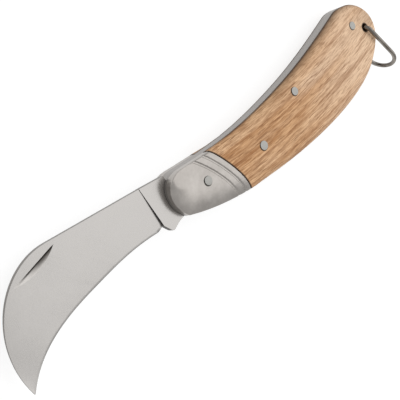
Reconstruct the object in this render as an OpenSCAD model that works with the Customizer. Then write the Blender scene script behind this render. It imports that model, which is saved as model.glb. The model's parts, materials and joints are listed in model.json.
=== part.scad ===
// Folding budding knife: hawkbill blade, steel bolsters, ash scales and a wire lanyard ring.
// The blade turns about Z. Open, it points to -X and the handle to +X, with both backs towards +Y.
// The frame's origin is the centre of the open knife's box, in the middle plane of the blade.
// Outlines are laid out from the pivot, which on_pivot() puts in its place.

/* [Blade] */
// Distance from the pivot to the front of the hook
blade_reach = 73; // [70.5:0.5:75.5]
// Height of the back of the blade above the pivot, at the hump
hump_rise = 8.7; // [8.3:0.1:9.1]
// Distance of the tip below the pivot
tip_drop = 23.1; // [22:0.1:24]
// Distance of the heel of the edge below the pivot
heel_drop = 6; // [5.7:0.1:6.3]
// Thickness of the blade at the ricasso
blade_t = 2.2; // [1.9:0.1:2.4]
// Thickness of the ground blade along its back
spine_t = 1.9; // [1.6:0.1:1.9]
// Width of the sharpened bevel
bevel_w = 1.1; // [0.8:0.1:1.4]
// Distance from the pivot to the plunge line at the heel
ricasso_len = 17.4; // [17:0.1:18]
// Distance of the kick below the pivot
kick_drop = 7.8; // [7.6:0.1:8]
// Length of the nail nick
nick_len = 15.4; // [12:0.2:16]
// Width of the nail nick
nick_w = 2; // [1.4:0.1:2.2]
// Depth of the nail nick
nick_depth = 0.5; // [0.3:0.05:0.6]
// Angle through which the blade closes
close_angle = 172; // [171:0.5:173]

/* [Tang and spring] */
// Distance from the pivot to the flats of the tang
tang_flat = 4.6; // [4.4:0.1:4.8]
// How far the rounded end of the tang lifts the spring
cam_lift = 0.5; // [0.3:0.1:0.6]
// Distance from the pivot to the front end of the spring
spring_reach = 10.4; // [10:0.1:10.8]
// Side clearance of the blade between the liners
blade_play = 0.1; // [0.06:0.02:0.14]

/* [Handle] */
// Length of handle behind the swing of the blade's tip
butt_len = 18.6; // [17.8:0.1:19.4]
// Height of the end of the handle above the pivot
butt_rise = 15.2; // [14.5:0.1:16]
// Half of the height of the rounded end
butt_half = 10.3; // [9.8:0.1:10.8]
// Height of the back of the bolsters above the pivot
back_rise = 7.2; // [7:0.1:7.6]
// Distance of the belly below the pivot
belly_drop = 10.1; // [9.8:0.1:10.4]
// Distance of the bolsters' nose beyond the front end of the spring
nose_ahead = 2.5; // [2.1:0.1:2.9]
// Thickness of each liner
liner_t = 0.9; // [0.7:0.1:1.1]
// Thickness of the bolsters and scales
scale_t = 3.2; // [2.9:0.1:3.5]
// Radius of the joint between bolster and scale
joint_r = 45; // [35:1:60]
// Gap at the joint between bolster and scale
joint_gap = 0.12; // [0.08:0.02:0.2]
// Width of the two decorative grooves in each bolster
groove_w = 0.8; // [0.5:0.1:1]
// Depth of those grooves
groove_depth = 0.3; // [0.2:0.05:0.4]

/* [Pins] */
// Diameter of the pivot pin
pivot_d = 2.7; // [2.5:0.1:2.9]
// Diameter of the two pins that hold the spring
pin_d = 2.7; // [2.5:0.1:2.9]
// Diameter of the short front rivets
rivet_d = 2.9; // [2.6:0.1:3.1]
// How far the domed ends of the pins stand above the faces
pin_rise = 0.3; // [0.2:0.02:0.34]
// Radial clearance of the blade on the pivot pin
pivot_play = 0.05; // [0.03:0.01:0.08]

/* [Lanyard ring] */
// Diameter of the wire
wire_d = 1.5; // [1.3:0.1:1.6]
// Diameter of the hole that the wire passes through
hole_d = 2.9; // [2.7:0.1:3.1]
// Distance from the hole to the far end of the wire's centre line
ring_len = 19.4; // [18.6:0.1:20.2]
// Gap between the wire and the face of the scale at the hole
ring_gap = 0.45; // [0.4:0.05:0.6]
// Direction in which the ring lies
ring_angle = -61; // [-90:1:0]

/* [Hidden] */

$fn = 40;
touch = 0.02;
far = 60;

// Curves and small helpers
function along(angle) = [cos(angle), sin(angle)];
function turned(p, angle) = [p.x * cos(angle) - p.y * sin(angle), p.x * sin(angle) + p.y * cos(angle)];
function mix(a, b, t) = a + (b - a) * t;
function limit(v, low, high) = min(max(v, low), high);
function ease(t) = let (s = limit(t, 0, 1)) s * s * (3 - 2 * s);
function bezier(a, b, c, d, steps) = [for (i = [0 : steps - 1]) let (t = i / steps, u = 1 - t)
    u * u * u * a + 3 * u * u * t * b + 3 * u * t * t * c + t * t * t * d];
// A curve that leaves a heading one way and reaches b heading another, without its last point
function sweep_to(a, heading_a, pull_a, b, heading_b, pull_b, steps) =
    bezier(a, a + pull_a * along(heading_a), b - pull_b * along(heading_b), b, steps);

// Heights above the middle plane
slot_half = blade_t / 2 + blade_play;
liner_top = slot_half + liner_t;
face_z = liner_top + scale_t;

// Blade outline, from the plunge line to the tip
tip = [-blade_reach + 1, -tip_drop];
plunge_top = [-ricasso_len - 2.1, hump_rise - 0.95];
plunge_foot = [-ricasso_len, -heel_drop + 0.9];
plunge_overlap = 0.6;
hump = [-blade_reach + 22, hump_rise];
heel = [-ricasso_len - 2.6, -heel_drop];
belly_of_edge = [-blade_reach + 28.3, -heel_drop - 3];
spine_line = concat(
    bezier(plunge_top + [plunge_overlap, 0], mix(plunge_top, hump, 0.33), mix(plunge_top, hump, 0.66), hump, 16),
    sweep_to(hump, 178.5, 13.4, tip, 286, 18, 28),
    [tip]);
edge_line = concat(
    sweep_to(plunge_foot + [plunge_overlap, 0.2], 195, 1.2, heel, 178, 1.4, 6),
    sweep_to(heel, 178, 9.8, belly_of_edge, 191.6, 7.4, 18),
    sweep_to(belly_of_edge, 191.6, 10.2, tip + [0.3, -0.1], 235, 11, 20),
    [tip + [0.3, -0.1]]);
stations = len(spine_line);

// Points of the ricasso and tang
kick = [-ricasso_len + 2.8, -kick_drop];
closed_kick = turned(kick, close_angle);
closed_tip = turned(tip, close_angle);
tang_r = tang_flat + cam_lift;

// Handle outline, clockwise from the nose as seen from above
nose_reach = spring_reach + nose_ahead;
swing_r = norm(tip);
handle_len = swing_r + butt_len;
nose = [-nose_reach, 0.6];
back_front = [-nose_reach + 6.9, back_rise];
neck = [22, back_rise + 1.6];
palm = [45, back_rise + 6.4];
butt = [handle_len, butt_rise];
butt_top = butt + [-butt_half - 1.2, butt_half - 0.3];
shoulder = butt_top + [-5.4, -0.65];
butt_foot = butt + [-13.25, -butt_half - 5.2];
belly = [24.3, -belly_drop];
chin = [-nose_reach + 3.1, -belly_drop + 4.1];
outline = concat(
    sweep_to(nose, 90, 4, back_front, 0, 4.6, 8),
    sweep_to(back_front, 0, 8, neck, 8.7, 10, 5),
    sweep_to(neck, 8.7, 8, palm, 14.4, 8.4, 8),
    sweep_to(palm, 14.4, 11.4, shoulder, 21.5, 11.3, 9),
    sweep_to(shoulder, 21.5, 2, butt_top, 0, 2, 4),
    sweep_to(butt_top, 0, 6, butt, -90, 5.9, 9),
    sweep_to(butt, -90, 6.4, butt_foot, -152, 7, 9),
    sweep_to(butt_foot, -152, 14.2, belly, 180, 19, 12),
    sweep_to(belly, 180, 12, chin, 163, 11, 9),
    sweep_to(chin, 139, 1.85, nose, 90, 2.8, 6));

// Places of the pins, the hole and the joint
hole = butt + [-6.3, -0.1];
butt_pin_at = hole + [-6.1, 2.85];
spring_pin_at = palm + [-0.1, -4.5];
rivet_at = [24.3, -0.3];
joint_back = [4.75, back_rise];
joint_belly = [14.1, -belly_drop + 0.6];
joint_half = norm(joint_belly - joint_back) / 2;
joint_centre = mix(joint_back, joint_belly, 0.5)
    + sqrt(joint_r * joint_r - joint_half * joint_half)
    * turned((joint_belly - joint_back) / norm(joint_belly - joint_back), -90);
groove_offsets = [2.1, 4.8];

// The outer face falls away in a long curve towards the butt
fall_start = handle_len - 29.7;
fall_r = 300;
function face_at(x) = face_z - (x > fall_start ? fall_r - sqrt(fall_r * fall_r - pow(x - fall_start, 2)) : 0);

// Lanyard ring
bend_r = 1.7;
leg_z = face_at(hole.x) + ring_gap + wire_d / 2;

// Origin of the frame, seen from the pivot
ring_end = hole.x + ring_len * cos(ring_angle) + wire_d / 2;
centre = [(ring_end - blade_reach) / 2, (butt_top.y - tip_drop) / 2];

module on_pivot() {
    translate([-centre.x, -centre.y, 0]) children();
}

// A closed skin over a stack of rings that have the same number of points
module loft(rings) {
    count = len(rings[0]);
    last = len(rings) - 1;
    points = [for (ring = rings) each ring];
    sides = [for (k = [0 : last - 1], i = [0 : count - 1])
        let (a = k * count + i, b = k * count + (i + 1) % count)
        each [[a, b, b + count], [a, b + count, a + count]]];
    floor_cap = [for (i = [count - 1 : -1 : 0]) i];
    end_cap = [for (i = [0 : count - 1]) last * count + i];
    polyhedron(points, concat(sides, [floor_cap, end_cap]));
}

// Rounded edge of the bolsters and scales. The bolsters stand on an upright wall, gently domed towards
// the nose and belly and nearly square along the back. The wood turns in steeply from the liner.
function past_joint(p) = p.x - mix(joint_belly.x, joint_back.x, (p.y - joint_belly.y) / (joint_back.y - joint_belly.y));
function bolster_share(p) = 1 - ease((past_joint(p) + 3) / 13);
function tight_share(p) = ease((p.y - 0.7) / 5.5) * (1 - ease((past_joint(p) + 2) / 11));
function back_share(p) = let (way = core(p) - p) ease(-way.y / norm(way));
function rim_rise(p) = mix(mix(0.3, 0.5, back_share(p)), mix(1.8, 2.8, tight_share(p)), bolster_share(p));
function edge_round(p) = mix(mix(4.5, 7, bolster_share(p)), 0.5, tight_share(p));
function first_angle(p) = mix(mix(10, 20, back_share(p)), mix(50, 15, tight_share(p)), bolster_share(p));
function core(p) = let (x = limit(p.x, -4.5, handle_len - 11.5))
    [x, x < 40 ? 0.8 : mix(0.8, butt_rise - 1.8, (x - 40) / (handle_len - 51.5))];
function inset(p, depth) = let (way = core(p) - p) p + way * min(depth / norm(way), 0.9);
round_steps = 7;
// The rounded form runs on past its flats, which are then cut as planes
overrun = 0.03;

// Form of one side: the outline's edge rounded up to the flat face.
// grown widens it and lowered sinks it, for the floor of the grooves.
module side_form(grown = 0, lowered = 0) {
    base = [for (p = outline) let (q = inset(p, -grown)) [q.x, q.y, liner_top - lowered - 0.5]];
    curve = [for (k = [0 : round_steps]) let (t = k / round_steps)
        [for (p = outline) let (a0 = first_angle(p), a = mix(a0, 90, t),
            q = inset(p, edge_round(p) * (1 - cos(a) / cos(a0)) - grown),
            rise = (sin(a) - sin(a0)) / (1 - sin(a0)))
            [q.x, q.y, liner_top + mix(rim_rise(p), scale_t + overrun, rise) - lowered]]];
    difference() {
        intersection() {
            loft(concat([base], curve));
            translate([-far, -far, liner_top - lowered]) cube([4 * far, 2 * far, scale_t]);
        }
        butt_fall(lowered);
    }
}

// What the long curve takes off the face near the butt
module butt_fall(lowered) {
    translate([fall_start, 0, face_z - fall_r - lowered]) difference() {
        translate([0, -far, fall_r - 4]) cube([far, 2 * far, far]);
        rotate([90, 0, 0]) cylinder(r = fall_r, h = 3 * far, center = true, $fn = 720);
    }
}

module joint_disc(radius) {
    translate([joint_centre.x, joint_centre.y, 0]) cylinder(r = radius, h = far, center = true, $fn = 180);
}

module bore_at(place, diameter) {
    translate([place.x, place.y, 0]) cylinder(d = diameter, h = far, center = true);
}

// A pin whose domed ends stand a little above the faces that they hold
module pin(place, diameter, low, high) {
    dome = 0.12;
    ball_r = (diameter * diameter / 4 + dome * dome) / (2 * dome);
    translate([place.x, place.y, 0]) intersection() {
        translate([0, 0, low]) cylinder(d = diameter, h = high - low);
        translate([0, 0, high - ball_r]) sphere(r = ball_r, $fn = 48);
        translate([0, 0, low + ball_r]) sphere(r = ball_r, $fn = 48);
    }
}

module ground_blade() {
    bevel_half = 0.28;
    edge_half = 0.05;
    loft([for (i = [0 : stations - 1])
        let (s = spine_line[i], e = edge_line[i], width = norm(s - e), share = min(bevel_w / width, 0.45),
            b = mix(e, s, share), near_tip = ease((stations - 1 - i) / 9),
            thick = mix(0.3, spine_t / 2, ease((stations - 1 - i) / (stations - 1) * 1.6)),
            bevel = mix(0.12, bevel_half, near_tip))
        [[s.x, s.y, thick], [b.x, b.y, bevel], [e.x, e.y, edge_half],
         [e.x, e.y, -edge_half], [b.x, b.y, -bevel], [s.x, s.y, -thick]]]);
}

// Outline of the full-thickness ricasso and the tang, without the tang's rounded end
module ricasso_outline() {
    back = hump_rise - 1.3;
    polygon(concat(
        [plunge_top + [0, touch * 2], [-spring_reach - touch * 2, back], [-spring_reach - touch * 2, tang_flat - touch],
         [0, tang_flat - touch], [0, -tang_flat + touch]],
        [turned([7.4, tang_flat - touch], -close_angle)],
        sweep_to([-9.6, -heel_drop + 0.2], 194, 1.5, kick + [0.3, 0.1], 222, 1.6, 5),
        [kick + [-0.2, -0.02], kick + [-0.7, 0.12], kick + [-1.15, 0.5], plunge_foot]));
}

module tang_outline() {
    difference() {
        union() {
            ricasso_outline();
            circle(r = tang_r, $fn = 120);
        }
        translate([-spring_reach, tang_flat - touch]) square([far, far]);
        rotate(-close_angle) translate([-tang_r, tang_flat - touch]) square([2 * tang_r - 1, far]);
    }
}

// A bevelled wheel sinks the crescent of the nail nick, upright on the side of the back
module nick_cutter() {
    wheel_r = nick_len * nick_len / (8 * nick_depth);
    surface_z = mix(spine_t / 2, 0.28, 0.24);
    translate([-blade_reach + 16, hump_rise - 3.7, surface_z + wheel_r - nick_depth])
        rotate([0, 0, 17]) rotate([-90, 0, 0]) rotate_extrude($fn = 360)
            polygon([[wheel_r - 3, -nick_w * 2], [wheel_r - nick_depth, -nick_w], [wheel_r, 0], [wheel_r - 3, 0]]);
}

module blade() {
    color("silver") on_pivot() difference() {
        union() {
            ground_blade();
            translate([0, 0, -blade_t / 2]) linear_extrude(blade_t) tang_outline();
        }
        bore_at([0, 0], pivot_d + 2 * pivot_play);
        nick_cutter();
    }
}

// Inner edge of the spring, from the butt round the pocket for the tip to the tang
module spring_region() {
    pocket_back = closed_tip + [4.1, 1.6];
    pocket_roof = closed_tip + [-3, 3.9];
    polygon(concat(
        sweep_to(hole + [7, -6.6], 170, 3, hole + [-3.4, -4.3], 160, 3, 4),
        sweep_to(hole + [-3.4, -4.3], 160, 2.5, pocket_back, 95, 1.6, 4),
        sweep_to(pocket_back, 95, 2.4, pocket_roof, 205, 2.6, 6),
        sweep_to(pocket_roof, 205, 11, spring_pin_at + [0, -3.3], 185, 8, 8),
        sweep_to(spring_pin_at + [0, -3.3], 185, 10, closed_kick + [1.6, touch], 184, 6, 7),
        [closed_kick + [0, touch * 2], closed_kick + [-1.6, -touch], [8, tang_flat], [-spring_reach, tang_flat],
         [-spring_reach, far], [2 * far, far], [2 * far, hole.y - 6.6]]));
}

module back_spring() {
    color("gray") on_pivot() difference() {
        translate([0, 0, -slot_half]) linear_extrude(2 * slot_half) intersection() {
            polygon(outline);
            spring_region();
        }
        bore_at(spring_pin_at, pin_d + 2 * touch);
        bore_at(butt_pin_at, pin_d + 2 * touch);
        bore_at(hole, hole_d);
    }
}

module liner() {
    difference() {
        translate([0, 0, slot_half]) linear_extrude(liner_t) polygon(outline);
        bore_at([0, 0], pivot_d + 2 * touch);
        bore_at(rivet_at, rivet_d + 2 * touch);
        bore_at(spring_pin_at, pin_d + 2 * touch);
        bore_at(butt_pin_at, pin_d + 2 * touch);
        bore_at(hole, hole_d);
    }
}

module bolster() {
    difference() {
        intersection() {
            side_form();
            joint_disc(joint_r);
        }
        difference() {
            for (offset = groove_offsets) difference() {
                joint_disc(joint_r - offset + groove_w / 2);
                joint_disc(joint_r - offset - groove_w / 2);
            }
            side_form(0.05, groove_depth);
        }
        bore_at([0, 0], pivot_d + 2 * touch);
    }
}

module scale_slab() {
    difference() {
        side_form();
        joint_disc(joint_r + joint_gap);
        bore_at(rivet_at, rivet_d + 2 * touch);
        bore_at(spring_pin_at, pin_d + 2 * touch);
        bore_at(butt_pin_at, pin_d + 2 * touch);
        bore_at(hole, hole_d);
    }
}

module top_liner() {
    color("darkgray") on_pivot() liner();
}

module bottom_liner() {
    color("darkgray") on_pivot() mirror([0, 0, 1]) liner();
}

module top_bolster() {
    color("lightgray") on_pivot() bolster();
}

module bottom_bolster() {
    color("lightgray") on_pivot() mirror([0, 0, 1]) bolster();
}

module top_scale() {
    color("burlywood") on_pivot() scale_slab();
}

module bottom_scale() {
    color("burlywood") on_pivot() mirror([0, 0, 1]) scale_slab();
}

module pivot_pin() {
    color("silver") on_pivot() pin([0, 0], pivot_d, -face_z - pin_rise, face_z + pin_rise);
}

module spring_pin() {
    color("silver") on_pivot() pin(spring_pin_at, pin_d, -face_z - pin_rise, face_z + pin_rise);
}

module butt_pin() {
    reach = face_at(butt_pin_at.x) + pin_rise;
    color("silver") on_pivot() pin(butt_pin_at, pin_d, -reach, reach);
}

module top_front_rivet() {
    color("silver") on_pivot() pin(rivet_at, rivet_d, slot_half, face_z + pin_rise);
}

module bottom_front_rivet() {
    color("silver") on_pivot() pin(rivet_at, rivet_d, -face_z - pin_rise, -slot_half);
}

// Half of the loop above the middle plane, laid out along +X from the hole
module ring_half() {
    upright = leg_z - bend_r;
    straight = ring_len - leg_z;
    cylinder(d = wire_d, h = upright, $fn = 20);
    translate([bend_r, 0, upright]) rotate([90, 0, 0]) rotate([0, 0, 90])
        rotate_extrude(angle = 90, $fn = 40) translate([bend_r, 0]) circle(d = wire_d, $fn = 20);
    translate([bend_r, 0, leg_z]) rotate([0, 90, 0]) cylinder(d = wire_d, h = straight - bend_r, $fn = 20);
    translate([straight, 0, 0]) rotate([90, 0, 0])
        rotate_extrude(angle = 90, $fn = 72) translate([leg_z, 0]) circle(d = wire_d, $fn = 20);
}

module lanyard_ring() {
    color("gray") on_pivot() translate([hole.x, hole.y, 0]) rotate([0, 0, ring_angle]) {
        ring_half();
        mirror([0, 0, 1]) ring_half();
    }
}

blade();
back_spring();
top_liner();
bottom_liner();
top_bolster();
bottom_bolster();
top_scale();
bottom_scale();
pivot_pin();
spring_pin();
butt_pin();
top_front_rivet();
bottom_front_rivet();
lanyard_ring();
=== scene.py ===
"""Looks for the folding budding knife: satin steel, ground edges, ash scales and a wire lanyard ring."""

import json
import math
from collections import namedtuple

import bpy
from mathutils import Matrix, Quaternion, Vector

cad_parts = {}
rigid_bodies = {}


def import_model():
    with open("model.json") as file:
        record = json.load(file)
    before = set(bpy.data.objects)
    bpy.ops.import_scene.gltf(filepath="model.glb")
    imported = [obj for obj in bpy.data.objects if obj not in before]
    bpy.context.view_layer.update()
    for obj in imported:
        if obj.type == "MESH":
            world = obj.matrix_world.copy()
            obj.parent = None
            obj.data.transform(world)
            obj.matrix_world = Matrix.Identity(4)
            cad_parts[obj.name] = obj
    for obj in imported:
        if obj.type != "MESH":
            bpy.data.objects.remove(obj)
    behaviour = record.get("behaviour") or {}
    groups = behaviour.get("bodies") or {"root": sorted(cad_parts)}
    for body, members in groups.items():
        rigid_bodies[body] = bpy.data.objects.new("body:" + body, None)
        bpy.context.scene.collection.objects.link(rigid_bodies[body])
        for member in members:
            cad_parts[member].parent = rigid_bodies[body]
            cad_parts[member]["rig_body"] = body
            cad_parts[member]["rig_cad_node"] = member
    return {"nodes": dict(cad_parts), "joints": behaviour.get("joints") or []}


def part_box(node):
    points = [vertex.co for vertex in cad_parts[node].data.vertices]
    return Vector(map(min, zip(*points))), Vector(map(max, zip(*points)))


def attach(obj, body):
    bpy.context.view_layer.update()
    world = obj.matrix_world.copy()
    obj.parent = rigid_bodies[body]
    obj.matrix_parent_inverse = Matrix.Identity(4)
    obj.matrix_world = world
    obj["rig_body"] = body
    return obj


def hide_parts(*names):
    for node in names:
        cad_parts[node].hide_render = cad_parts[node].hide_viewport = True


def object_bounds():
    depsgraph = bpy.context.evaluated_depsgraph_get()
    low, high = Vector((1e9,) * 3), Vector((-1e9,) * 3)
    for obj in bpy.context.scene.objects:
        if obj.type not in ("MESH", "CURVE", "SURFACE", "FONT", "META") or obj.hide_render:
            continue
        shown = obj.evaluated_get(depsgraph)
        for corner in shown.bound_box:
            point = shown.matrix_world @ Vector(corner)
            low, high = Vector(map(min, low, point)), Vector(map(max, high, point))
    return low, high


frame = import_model()
cad_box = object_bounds()
nodes = frame["nodes"]
joint_at = {joint["name"]: Vector(joint["pos_m"]) for joint in frame["joints"]}
pivot = joint_at["blade_fold"]
lanyard_hole = joint_at["ring_swing"]

MM = 0.001

# Camera, as the photograph sees the open knife
AIM = pivot + Vector((-5.47, -3.44, 5.3)) * MM
CAMERA_DISTANCE = 215.4 * MM
CAMERA_AZIMUTH = math.radians(-112.4)
CAMERA_ELEVATION = math.radians(55.0)
CAMERA_ROLL = math.radians(83.0)
LENS = 67.5
SENSOR = 36.0
CLIP_START = 0.01

# Light and floor, in metres and watts
KEY_DIRECTION = Vector((0.66, 0.08, 0.75)).normalized()
KEY_DISTANCE = 0.85
KEY_SIZE = 1.15
KEY_POWER = 3.4
WORLD_LEVEL = 0.58
FLOOR_SIZE = 4.0
FLOOR_GAP = 0.05 * MM
FLOOR_GLOW = 0.78

# The joint between bolster and scale: an arc through two points on the handle's back and belly
JOINT_RADIUS = 45 * MM
JOINT_BACK = pivot + Vector((4.75, 7.2, 0)) * MM
JOINT_BELLY = pivot + Vector((14.1, -9.5, 0)) * MM
JOINT_GAP = 0.2 * MM
GROOVED_WIDTH = 5.6 * MM

# The nail nick in the blade
NICK_CENTRE = pivot + Vector((-57, 5, 0)) * MM
NICK_TURN = math.radians(17)
NICK_LENGTH = 15.4 * MM
NICK_WIDTH = 2.05 * MM
NICK_SLACK = 0.1 * MM
NICK_FACE_AREA = 4 * MM**2

# The blade's kick and plunge, measured from the pivot
KICK_FRONT = -22 * MM
KICK_REAR = -14.5 * MM
KICK_TOP = 5 * MM

# Pins and the lanyard hole. The painted shadow line round a pin is wider towards the blade and the
# belly.
PINS = ("pivot_pin", "spring_pin", "butt_pin", "top_front_rivet", "bottom_front_rivet")
SCALE_PINS = ("top_front_rivet", "spring_pin", "butt_pin")
PIN_SHADOW_SHIFT = Vector((-0.16, -0.1, 0)) * MM
PIN_SHADOW_WIDTH = 0.3 * MM
PIN_CLEARANCE = 2 * MM
HOLE_RADIUS = 1.45 * MM

# Edges and skins of the finished pieces
JOIN_DISTANCE = 0.001 * MM
FLAT_ANGLE = math.radians(0.4)
EDGE_ANGLE = math.radians(38)
HARD_EDGE = 0.06 * MM
LINER_EDGE = 0.05 * MM
TUMBLED_GRAIN = 0.12 * MM
TUMBLING_PASSES = 6
DOME_PASSES = 120
KEPT_FACES = 0.25

# The largest upward share of a wall's normal, and the smallest of a dome's
WALL_LEAN = 0.6
DOME_LEAN = 0.75

# The spread in a steel's roughness from its clouds and from its grinding lines
CLOUD_DULLING = 0.16
LINE_DULLING = 0.1

# Timber, with its marks counted per millimetre along the grain, across it and through the board
BAND_COUNTS = (0.016, 0.17, 0.1)
STREAK_COUNTS = (0.09, 1.15, 0.7)
FIBRE_COUNTS = (0.32, 4.2, 2.6)
PORE_COUNTS = (0.2, 2.4, 1.6)
RING_COUNTS = (0.03, 0.85, 0.5)
GRAIN_RISE = 0.06
GRAIN_CURVE = 0.0016
STREAK_SHARE = 0.55
RIBBON_LEVEL = 3.3
RIBBON_SHARE = 0.7
FIBRE_RELIEF = 0.35
PORE_DEPTH = 0.025

# Painted shade on the scales, and their dark joint line
BACK_RISE = 0.13
PAINTED_BACK_SHADE_SHARE = 0.65
PAINTED_LINER_SHADE_SHARE = 0.85
JOINT_AND_PAINTED_SHADE_SHARE = 0.9
LINER_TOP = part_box("top_liner")[1].z


def tone(red, green, blue):
    """A colour given as 8-bit display values, turned into the light that shows it."""
    linear = [
        share / 12.92 if share <= 0.04045 else ((share + 0.055) / 1.055) ** 2.4
        for share in (red / 255, green / 255, blue / 255)
    ]
    return (*linear, 1.0)


def arc_centre(first, last, radius):
    """Centre of the arc of that radius through two points, on the side of the blade."""
    chord = last - first
    reach = math.sqrt(radius**2 - (chord.length / 2) ** 2)
    side = Vector((chord.y, -chord.x, 0)).normalized()
    return (first + last) / 2 + side * reach


JOINT_CENTRE = arc_centre(JOINT_BACK, JOINT_BELLY, JOINT_RADIUS)

# Colours of the wood
BAND_DARK, BAND_MIDDLE, BAND_PALE = tone(198, 139, 86), tone(226, 172, 120), tone(251, 209, 166)
STREAK_DARK, STREAK_PALE = tone(166, 111, 66), tone(249, 204, 158)
BUTT_PALE = tone(254, 219, 184)
RIBBON_PALE = tone(252, 218, 184)
RING_BROWN = tone(158, 104, 62)
FIBRE_BROWN = tone(142, 92, 52)
PORE_BROWN = tone(140, 90, 52)
# Painted shade along the handle's back, and the dark of the joint line and of the painted shade lines at
# the liner, pins and hole
PAINTED_BACK_SHADE = tone(120, 92, 68)
WOOD_JOINT_AND_PAINTED_SHADE = tone(56, 38, 24)

# Other colours
# Painted shadow round the pins
PAINTED_PIN_SHADOW = tone(70, 66, 62)
# Painted light, painted shade and painted shadow on the floor of the nail nick
NICK_PAINTED_LIGHT, NICK_PAINTED_SHADE, NICK_PAINTED_SHADOW = tone(206, 202, 198), tone(104, 100, 96), tone(46, 43, 40)
FLOOR_TONE = tone(160, 160, 160)
WHITE = (1.0, 1.0, 1.0, 1.0)


# Materials


class Finish:
    """The node tree of one material, with short calls that add its nodes and join them."""

    def __init__(self, name):
        self.material = bpy.data.materials.new(name)
        self.material.use_nodes = True
        self.tree = self.material.node_tree
        self.shader = self.tree.nodes["Principled BSDF"]

    def feed(self, socket, value):
        """Joins a socket to another one, or sets it."""
        if isinstance(value, bpy.types.NodeSocket):
            self.tree.links.new(value, socket)
        else:
            socket.default_value = value

    def surface(self, **values):
        """Sets the shader's own sockets, which are named in lower case with underscores."""
        for name, value in values.items():
            self.feed(self.shader.inputs[name.replace("_", " ").title().replace("Ior", "IOR")], value)

    def place(self):
        """Object coordinates in millimetres."""
        where = self.tree.nodes.new("ShaderNodeTexCoord").outputs["Object"]
        return self.mapped(where, (1 / MM,) * 3)

    def mapped(self, vector, scale, turn=0.0):
        """Coordinates scaled along each axis and then turned about Z."""
        node = self.tree.nodes.new("ShaderNodeMapping")
        self.feed(node.inputs["Vector"], vector)
        node.inputs["Rotation"].default_value = (0, 0, turn)
        node.inputs["Scale"].default_value = scale
        return node.outputs["Vector"]

    def split(self, vector):
        """The three parts of a vector."""
        node = self.tree.nodes.new("ShaderNodeSeparateXYZ")
        self.feed(node.inputs[0], vector)
        return node.outputs[0], node.outputs[1], node.outputs[2]

    def joined(self, *parts):
        """A vector from its three parts."""
        node = self.tree.nodes.new("ShaderNodeCombineXYZ")
        for socket, part in zip(node.inputs, parts):
            self.feed(socket, part)
        return node.outputs[0]

    def vector_math(self, operation, vector, constant):
        """The node of one arithmetic step on a vector and a constant one."""
        node = self.tree.nodes.new("ShaderNodeVectorMath")
        node.operation = operation
        self.feed(node.inputs[0], vector)
        node.inputs[1].default_value = constant
        return node

    def math(self, operation, *values):
        """One arithmetic step on one, two or three values."""
        node = self.tree.nodes.new("ShaderNodeMath")
        node.operation = operation
        for socket, value in zip(node.inputs, values):
            self.feed(socket, value)
        return node.outputs[0]

    def times(self, first, *others):
        """The product of several values."""
        for other in others:
            first = self.math("MULTIPLY", first, other)
        return first

    def most(self, first, *others):
        """The largest of several values."""
        for other in others:
            first = self.math("MAXIMUM", first, other)
        return first

    def noise(self, where, counts, detail, roughness, distortion=0.0):
        """Noise with that many marks in a millimetre along each axis."""
        node = self.tree.nodes.new("ShaderNodeTexNoise")
        self.feed(node.inputs["Vector"], self.mapped(where, counts))
        node.inputs["Scale"].default_value = 1.0
        node.inputs["Detail"].default_value = detail
        node.inputs["Roughness"].default_value = roughness
        node.inputs["Distortion"].default_value = distortion
        return node.outputs[0]

    def ramp(self, factor, stops):
        """A colour for each level of factor. stops are pairs of a level and a colour or a grey."""
        node = self.tree.nodes.new("ShaderNodeValToRGB")
        self.feed(node.inputs[0], factor)
        elements = node.color_ramp.elements
        while len(elements) < len(stops):
            elements.new(0.5)
        for element, (level, colour) in zip(elements, stops):
            element.position = level
            element.color = colour if isinstance(colour, tuple) else (colour,) * 3 + (1.0,)
        return node.outputs[0]

    def mix(self, factor, first, second):
        """A blend of two colours, where factor is the share of the second."""
        node = self.tree.nodes.new("ShaderNodeMix")
        node.data_type = "RGBA"
        for index, value in ((0, factor), (6, first), (7, second)):
            self.feed(node.inputs[index], value)
        return node.outputs[2]

    def beside(self, where, centre, turn):
        """Distances in millimetres from centre, along and across a line turned about Z."""
        offset = self.vector_math("SUBTRACT", where, tuple(centre / MM)).outputs[0]
        return self.split(self.mapped(offset, (1, 1, 1), -turn))[:2]

    def away(self, where, centre):
        """Distance in millimetres from an upright line through centre."""
        flat = self.vector_math("MULTIPLY", where, (1, 1, 0)).outputs[0]
        foot = (centre.x / MM, centre.y / MM, 0)
        return self.vector_math("DISTANCE", flat, foot).outputs["Value"]

    def fade(self, value, full, none):
        """1 where value is at full, falling smoothly to 0 at none."""
        node = self.tree.nodes.new("ShaderNodeMapRange")
        node.interpolation_type = "SMOOTHSTEP"
        self.feed(node.inputs["Value"], value)
        node.inputs["From Min"].default_value = full
        node.inputs["From Max"].default_value = none
        node.inputs["To Min"].default_value = 1.0
        node.inputs["To Max"].default_value = 0.0
        return node.outputs[0]

    def bump(self, height, depth):
        """Relief of that depth in millimetres."""
        node = self.tree.nodes.new("ShaderNodeBump")
        node.inputs["Distance"].default_value = depth * MM
        self.feed(node.inputs["Height"], height)
        return node.outputs[0]


def pin_shadow_line(finish, where, node):
    """Share of the painted shadow line round a pin, widest on one side."""
    low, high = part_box(node)
    radius = (high.x - low.x) / 2 / MM
    from_pin = finish.away(where, (low + high) / 2 + PIN_SHADOW_SHIFT)
    return finish.fade(from_pin, full=radius, none=radius + PIN_SHADOW_WIDTH / MM)


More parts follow.
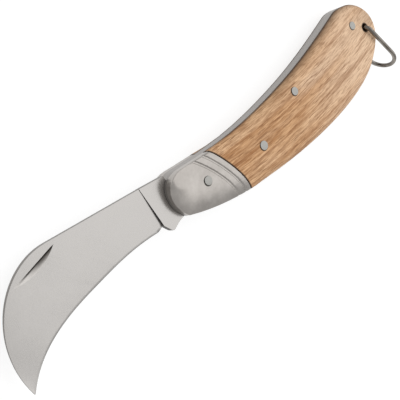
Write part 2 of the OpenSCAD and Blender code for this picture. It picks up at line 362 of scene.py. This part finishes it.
def steel(name, dark, light, roughness, cloud, cloud_share, lines, line_depth, shadowed_pins=()):
    """Steel with soft clouds in its shade and fine lines from its last grinding. cloud is the size
    of a cloud in millimetres, lines are the counts per millimetre along X, Y and Z, and
    shadowed_pins are the pins round which a painted shadow line is drawn."""
    finish = Finish(name)
    where = finish.place()
    clouds = finish.noise(where, (1 / cloud,) * 3, detail=4, roughness=0.6)
    ground = finish.noise(where, lines, detail=2, roughness=0.6)
    blend = finish.math("MULTIPLY_ADD", clouds, cloud_share, (1 - cloud_share) / 2)
    shade = finish.mix(blend, dark, light)
    # A painted shadow line round each of these pins
    for node in shadowed_pins:
        shade = finish.mix(pin_shadow_line(finish, where, node), shade, PAINTED_PIN_SHADOW)
    dulled = finish.math("MULTIPLY_ADD", clouds, CLOUD_DULLING, roughness - CLOUD_DULLING / 2)
    fine = finish.math("MULTIPLY_ADD", ground, LINE_DULLING, -LINE_DULLING / 2)
    finish.surface(
        base_color=shade,
        metallic=1.0,
        roughness=finish.math("ADD", dulled, fine),
        normal=finish.bump(ground, line_depth),
    )
    return finish.material


def painted_nick_floor():
    """The floor of the nail nick, all painted light and shade: a brighter painted light, a painted
    shadow line at the foot of its wall, and painted shade towards the handle.
    """
    finish = Finish("nick_floor_painted_light_and_shade")
    along, across = finish.beside(finish.place(), NICK_CENTRE, NICK_TURN)
    # Painted shade, darker towards the handle end of the nick
    painted_shade_pool = finish.times(
        finish.fade(across, full=-0.6, none=-2.1), finish.fade(along, full=3.5, none=-4))
    # Painted shadow at the foot of the nick's wall
    foot = finish.times(
        finish.fade(across, full=-0.3, none=-0.75), finish.fade(along, full=-1, none=-7.5))
    shade = finish.mix(painted_shade_pool, NICK_PAINTED_LIGHT, NICK_PAINTED_SHADE)
    finish.surface(base_color=finish.mix(foot, shade, NICK_PAINTED_SHADOW), metallic=1.0, roughness=0.36)
    return finish.material


Grain = namedtuple("Grain", "place level along across through")


def curved_grain(finish, where, shift):
    """Where a point lies in the timber, in millimetres. The first axis of place follows the grain,
    and level is the height above the grain line through the frame's origin."""
    along, across, through = finish.split(where)
    rise = finish.times(along, GRAIN_RISE)
    curve = finish.times(along, along, GRAIN_CURVE)
    level = finish.math("SUBTRACT", across, finish.math("ADD", rise, curve))
    place = finish.joined(along, level, finish.math("ADD", through, shift))
    return Grain(place, level, along, across, through)


def timber(finish, grain):
    """Colour of the bare wood and the height of its fibres: broad growth bands, streaks, long dark
    rings, fibres, a pale ribbon towards the butt and short open pores towards the bolsters."""
    bands = finish.noise(grain.place, BAND_COUNTS, detail=2, roughness=0.5, distortion=0.3)
    streaks = finish.noise(grain.place, STREAK_COUNTS, detail=4, roughness=0.65, distortion=0.25)
    fibres = finish.noise(grain.place, FIBRE_COUNTS, detail=3, roughness=0.6)
    pores = finish.noise(grain.place, PORE_COUNTS, detail=2, roughness=0.5)
    rings = finish.noise(grain.place, RING_COUNTS, detail=3, roughness=0.6, distortion=0.2)

    banded = finish.ramp(bands, [(0.36, BAND_DARK), (0.5, BAND_MIDDLE), (0.64, BAND_PALE)])
    streaked = finish.mix(finish.ramp(streaks, [(0.38, 0.0), (0.6, 1.0)]), STREAK_DARK, STREAK_PALE)
    wood = finish.mix(STREAK_SHARE, banded, streaked)

    paler = finish.times(
        finish.fade(grain.along, full=72, none=22), finish.ramp(bands, [(0.4, 0.45), (0.58, 0.95)]))
    wood = finish.mix(paler, wood, BUTT_PALE)
    wood = finish.mix(finish.ramp(rings, [(0.37, 0.5), (0.47, 0.0)]), wood, RING_BROWN)

    from_ribbon = finish.math("ABSOLUTE", finish.math("SUBTRACT", grain.level, RIBBON_LEVEL))
    ribbon = finish.times(
        finish.fade(from_ribbon, full=0.6, none=3.0), finish.fade(grain.along, full=44, none=26),
        RIBBON_SHARE)
    wood = finish.mix(ribbon, wood, RIBBON_PALE)

    wood = finish.mix(finish.ramp(fibres, [(0.36, 0.5), (0.54, 0.0)]), wood, FIBRE_BROWN)
    open_pores = finish.times(
        finish.ramp(pores, [(0.58, 0.0), (0.66, 0.6)]), finish.fade(grain.along, full=40, none=84))
    wood = finish.mix(open_pores, wood, PORE_BROWN)
    return wood, finish.math("SUBTRACT", finish.times(fibres, FIBRE_RELIEF), open_pores)


def ash(name, shift):
    """Ash with painted shade along the handle's back, a dark joint line at the bolster, and painted
    shade lines by the liner, round its pins and round its hole. The two front rivets stand in one
    line, so the upper one's place serves for both scales. shift moves the pattern through the
    timber, so that the scales aren't twins."""
    finish = Finish(name)
    where = finish.place()
    grain = curved_grain(finish, where, shift)
    wood, height = timber(finish, grain)

    above_liner = finish.math("SUBTRACT", finish.math("ABSOLUTE", grain.through), LINER_TOP / MM)
    up_the_back = finish.math("SUBTRACT", grain.across, finish.times(grain.along, BACK_RISE))
    on_back = finish.fade(up_the_back, full=5, none=2)
    # Painted shade along the handle's back, near the liner and towards the butt
    shade = finish.times(
        finish.fade(above_liner, full=0.8, none=2.9), on_back,
        finish.fade(grain.along, full=38, none=12), PAINTED_BACK_SHADE_SHARE)
    wood = finish.mix(shade, wood, PAINTED_BACK_SHADE)

    from_joint = finish.math("SUBTRACT", finish.away(where, JOINT_CENTRE), JOINT_RADIUS / MM)
    hole = HOLE_RADIUS / MM
    # Painted shade lines at the liner, along the back by the liner, round the pins and round the lanyard
    # hole, with the dark joint line at the bolster
    joint_and_painted_shade = finish.most(
        finish.fade(above_liner, full=0.2, none=0.4),
        finish.fade(from_joint, full=0.34, none=0.62),
        finish.times(finish.fade(above_liner, full=0.6, none=1.15), on_back, PAINTED_LINER_SHADE_SHARE),
        *(pin_shadow_line(finish, where, node) for node in SCALE_PINS),
        finish.fade(finish.away(where, lanyard_hole), full=hole + 0.12, none=hole + 0.5),
    )
    finish.surface(
        base_color=finish.mix(finish.times(joint_and_painted_shade, JOINT_AND_PAINTED_SHADE_SHARE), wood, WOOD_JOINT_AND_PAINTED_SHADE),
        roughness=0.5,
        specular_ior_level=0.2,
        normal=finish.bump(height, PORE_DEPTH),
    )
    return finish.material


BLADE_STEEL = steel(
    "satin_blade_steel", tone(176, 173, 170), tone(184, 181, 178),
    roughness=0.26, cloud=14, cloud_share=0.8, lines=(9, 0.5, 9), line_depth=0.0003)
# The blade's upright walls: a rougher grind, and darker as painted shade too
BLADE_WALL_GRIND_AND_SHADE = steel(
    "ground_blade_wall_with_painted_shade", tone(116, 112, 108), tone(136, 132, 128),
    roughness=0.42, cloud=4, cloud_share=0.6, lines=(5, 5, 0.4), line_depth=0.002)
# The walls at the kick and plunge: ground like the other walls, and painted dark as shade
KICK_PAINTED_SHADE = steel(
    "kick_wall_painted_shade", tone(62, 59, 56), tone(80, 76, 72),
    roughness=0.45, cloud=4, cloud_share=0.6, lines=(5, 5, 0.4), line_depth=0.002)
# The bolster steel has a painted shadow line round the pivot pin
BOLSTER_STEEL = steel(
    "tumbled_bolster_steel", tone(162, 157, 152), tone(190, 185, 180),
    roughness=0.36, cloud=3.2, cloud_share=1.8, lines=(5, 5, 5), line_depth=0.002,
    shadowed_pins=("pivot_pin",))
SPRING_STEEL = steel(
    "cross_ground_spring_steel", tone(146, 142, 139), tone(166, 162, 158),
    roughness=0.4, cloud=5, cloud_share=0.8, lines=(7, 1.2, 0.3), line_depth=0.003)
LINER_STEEL = steel(
    "cross_ground_liner_steel", tone(144, 140, 137), tone(164, 160, 156),
    roughness=0.4, cloud=5, cloud_share=0.8, lines=(7, 1.2, 0.3), line_depth=0.003)
PIN_STEEL = steel(
    "peened_pin_steel", tone(144, 143, 139), tone(168, 167, 163),
    roughness=0.34, cloud=0.8, cloud_share=1.0, lines=(3, 3, 3), line_depth=0.01)
RING_WIRE = steel(
    "drawn_ring_wire", tone(86, 80, 74), tone(160, 154, 147),
    roughness=0.22, cloud=5, cloud_share=2.2, lines=(1.2, 1.2, 5), line_depth=0.003)
PAINTED_NICK_FLOOR = painted_nick_floor()
TOP_ASH = ash("ash_of_the_top_scale", 0.0)
BOTTOM_ASH = ash("ash_of_the_bottom_scale", 23.0)
GLUE = steel(
    "dark_glue_line", tone(40, 30, 20), tone(52, 40, 28),
    roughness=0.7, cloud=1, cloud_share=0.5, lines=(4, 4, 4), line_depth=0.001)


# Pieces


def select_only(piece):
    """Selects one piece alone and makes it the active one."""
    bpy.ops.object.select_all(action="DESELECT")
    piece.select_set(True)
    bpy.context.view_layer.objects.active = piece


def modified(piece, kind, **settings):
    """Gives the active piece a modifier with those settings, and applies it."""
    bpy.ops.object.modifier_add(type=kind)
    modifier = piece.modifiers[-1]
    for name, value in settings.items():
        setattr(modifier, name, value)
    bpy.ops.object.modifier_apply(modifier=modifier.name)


def dress(piece, material):
    """Gives a piece one material all over."""
    piece.data.materials.clear()
    piece.data.materials.append(material)


def paint_faces(piece, material, chosen):
    """Gives the faces that chosen picks a material of their own."""
    piece.data.materials.append(material)
    for face in piece.data.polygons:
        if chosen(face):
            face.material_index = len(piece.data.materials) - 1


def is_wall(face):
    """True for a face that stands nearly upright."""
    return abs(face.normal.z) < WALL_LEAN


def at_kick(face):
    """True for a wall at the kick and the plunge, just ahead of the bolsters."""
    ahead = face.center.x - pivot.x
    below = face.center.y < pivot.y + KICK_TOP
    return is_wall(face) and below and KICK_FRONT < ahead < KICK_REAR


def in_nick(face):
    """True for a face on the floor of the nail nick."""
    place = (face.center - NICK_CENTRE).to_2d()
    along = place.x * math.cos(NICK_TURN) + place.y * math.sin(NICK_TURN)
    across = place.y * math.cos(NICK_TURN) - place.x * math.sin(NICK_TURN)
    inside = abs(along) < NICK_LENGTH / 2 and -NICK_WIDTH < across < NICK_SLACK
    return inside and face.center.z > 0 and face.normal.z > 0 and face.area < NICK_FACE_AREA


def in_joint(face):
    """True for an upright face in the gap between bolster and scale."""
    across = (face.center - JOINT_CENTRE).to_2d().length - JOINT_RADIUS
    return is_wall(face) and abs(across) < JOINT_GAP


def on_dome(vertex):
    """True for a vertex on a bolster's domed face, in front of its grooves and clear of the pin."""
    place = vertex.co
    outward = vertex.normal.z if place.z > 0 else -vertex.normal.z
    ahead = (place - JOINT_CENTRE).to_2d().length < JOINT_RADIUS - GROOVED_WIDTH
    clear = (place - pivot).to_2d().length > PIN_CLEARANCE
    return outward > DOME_LEAN and ahead and clear


def eased(piece, edge):
    """Gives each edge of a piece a small round of that width."""
    modified(
        piece, "BEVEL", width=edge, segments=2, limit_method="ANGLE", angle_limit=EDGE_ANGLE,
        use_clamp_overlap=True)


def tumbled(piece, grain):
    """Wears the edges and creases of a piece soft, as tumbling does, and evens out its dome. grain
    is the size of the faces that it gets for this, before they are thinned."""
    modified(piece, "REMESH", mode="VOXEL", voxel_size=grain)
    modified(piece, "SMOOTH", factor=0.5, iterations=TUMBLING_PASSES)
    bpy.ops.object.mode_set(mode="EDIT")
    bpy.ops.mesh.select_mode(type="VERT")
    bpy.ops.mesh.select_all(action="DESELECT")
    bpy.ops.object.mode_set(mode="OBJECT")
    for vertex in piece.data.vertices:
        vertex.select = on_dome(vertex)
    bpy.ops.object.mode_set(mode="EDIT")
    bpy.ops.mesh.vertices_smooth(factor=0.5, repeat=DOME_PASSES)
    bpy.ops.object.mode_set(mode="OBJECT")
    modified(piece, "DECIMATE", ratio=KEPT_FACES)


def finished(node, body, material, edge=0.0, grain=0.0):
    """A workshop-finished copy of a CAD node: one joined skin, its edges eased to that width or
    tumbled with that grain, and its rounds smooth."""
    select_only(nodes[node])
    bpy.ops.object.duplicate()
    piece = bpy.context.active_object
    piece.name = "finished_" + node
    piece.data.name = piece.name
    bpy.ops.object.parent_clear(type="CLEAR_KEEP_TRANSFORM")
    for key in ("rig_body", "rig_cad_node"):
        del piece[key]
    bpy.ops.mesh.customdata_custom_splitnormals_clear()
    bpy.ops.object.mode_set(mode="EDIT")
    bpy.ops.mesh.select_all(action="SELECT")
    bpy.ops.mesh.remove_doubles(threshold=JOIN_DISTANCE)
    bpy.ops.mesh.dissolve_limited(angle_limit=FLAT_ANGLE)
    bpy.ops.object.mode_set(mode="OBJECT")
    if grain:
        tumbled(piece, grain)
    else:
        eased(piece, edge)
    bpy.ops.object.shade_smooth_by_angle(angle=EDGE_ANGLE)
    modified(piece, "WEIGHTED_NORMAL", keep_sharp=True)
    dress(piece, material)
    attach(piece, body)
    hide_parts(node)
    return piece


blade = finished("blade", "blade", BLADE_STEEL, edge=HARD_EDGE)
# The blade's upright walls are darker, partly from their grind and partly as painted shade
paint_faces(blade, BLADE_WALL_GRIND_AND_SHADE, is_wall)
# Painted shade on the walls at the kick and plunge
paint_faces(blade, KICK_PAINTED_SHADE, at_kick)
# The floor of the nail nick gets painted light and shade
paint_faces(blade, PAINTED_NICK_FLOOR, in_nick)
finished("back_spring", "handle", SPRING_STEEL, edge=HARD_EDGE)
for side, wood in (("top", TOP_ASH), ("bottom", BOTTOM_ASH)):
    finished(side + "_liner", "handle", LINER_STEEL, edge=LINER_EDGE)
    bolster = finished(
        side + "_bolster", "handle", BOLSTER_STEEL, grain=TUMBLED_GRAIN)
    paint_faces(bolster, GLUE, in_joint)
    scale = finished(side + "_scale", "handle", wood, edge=HARD_EDGE)
    paint_faces(scale, GLUE, in_joint)
for node in PINS:
    dress(nodes[node], PIN_STEEL)
dress(nodes["lanyard_ring"], RING_WIRE)


# Stage


def add_floor():
    """A plain pale floor just under the knife, lit up a little for the eye and for reflections."""
    low = cad_box[0].z - FLOOR_GAP
    bpy.ops.object.select_all(action="DESELECT")
    bpy.ops.mesh.primitive_plane_add(size=FLOOR_SIZE, location=(0, 0, low))
    floor = bpy.context.active_object
    floor.name = "floor"
    paint = Finish("pale_floor")
    path = paint.tree.nodes.new("ShaderNodeLightPath")
    seen = paint.math("ADD", path.outputs["Is Camera Ray"], path.outputs["Is Glossy Ray"])
    seen = paint.math("MINIMUM", paint.math("ADD", seen, path.outputs["Is Transmission Ray"]), 1.0)
    paint.surface(
        base_color=FLOOR_TONE, roughness=0.9, emission_color=WHITE,
        emission_strength=paint.times(seen, FLOOR_GLOW))
    dress(floor, paint.material)


def aimed(data, back, distance, roll=0.0):
    """Stands a lamp or a camera at that distance from the aim, looking at it. back is the way from
    the aim to it."""
    piece = bpy.data.objects.new(data.name, data)
    bpy.context.scene.collection.objects.link(piece)
    piece.location = AIM + back * distance
    piece.rotation_mode = "QUATERNION"
    piece.rotation_quaternion = (-back).to_track_quat("-Z", "Y") @ Quaternion((0, 0, 1), roll)
    return piece


def add_light():
    """One broad soft light above, and an even grey room."""
    data = bpy.data.lights.new("soft_key", "AREA")
    data.shape = "SQUARE"
    data.size = KEY_SIZE
    data.energy = KEY_POWER
    aimed(data, KEY_DIRECTION, KEY_DISTANCE)
    world = bpy.data.worlds.new("room")
    world.use_nodes = True
    world.node_tree.nodes["Background"].inputs["Color"].default_value = (WORLD_LEVEL,) * 3 + (1.0,)
    bpy.context.scene.world = world


def add_camera():
    """The photograph's point of view."""
    back = Vector((
        math.sin(CAMERA_AZIMUTH) * math.cos(CAMERA_ELEVATION),
        -math.cos(CAMERA_AZIMUTH) * math.cos(CAMERA_ELEVATION),
        math.sin(CAMERA_ELEVATION)))
    data = bpy.data.cameras.new("photo_view")
    data.lens = LENS
    data.sensor_width = SENSOR
    data.clip_start = CLIP_START
    bpy.context.scene.camera = aimed(data, back, CAMERA_DISTANCE, CAMERA_ROLL)


add_floor()
add_light()
add_camera()
bpy.context.scene.view_settings.view_transform = "Standard"
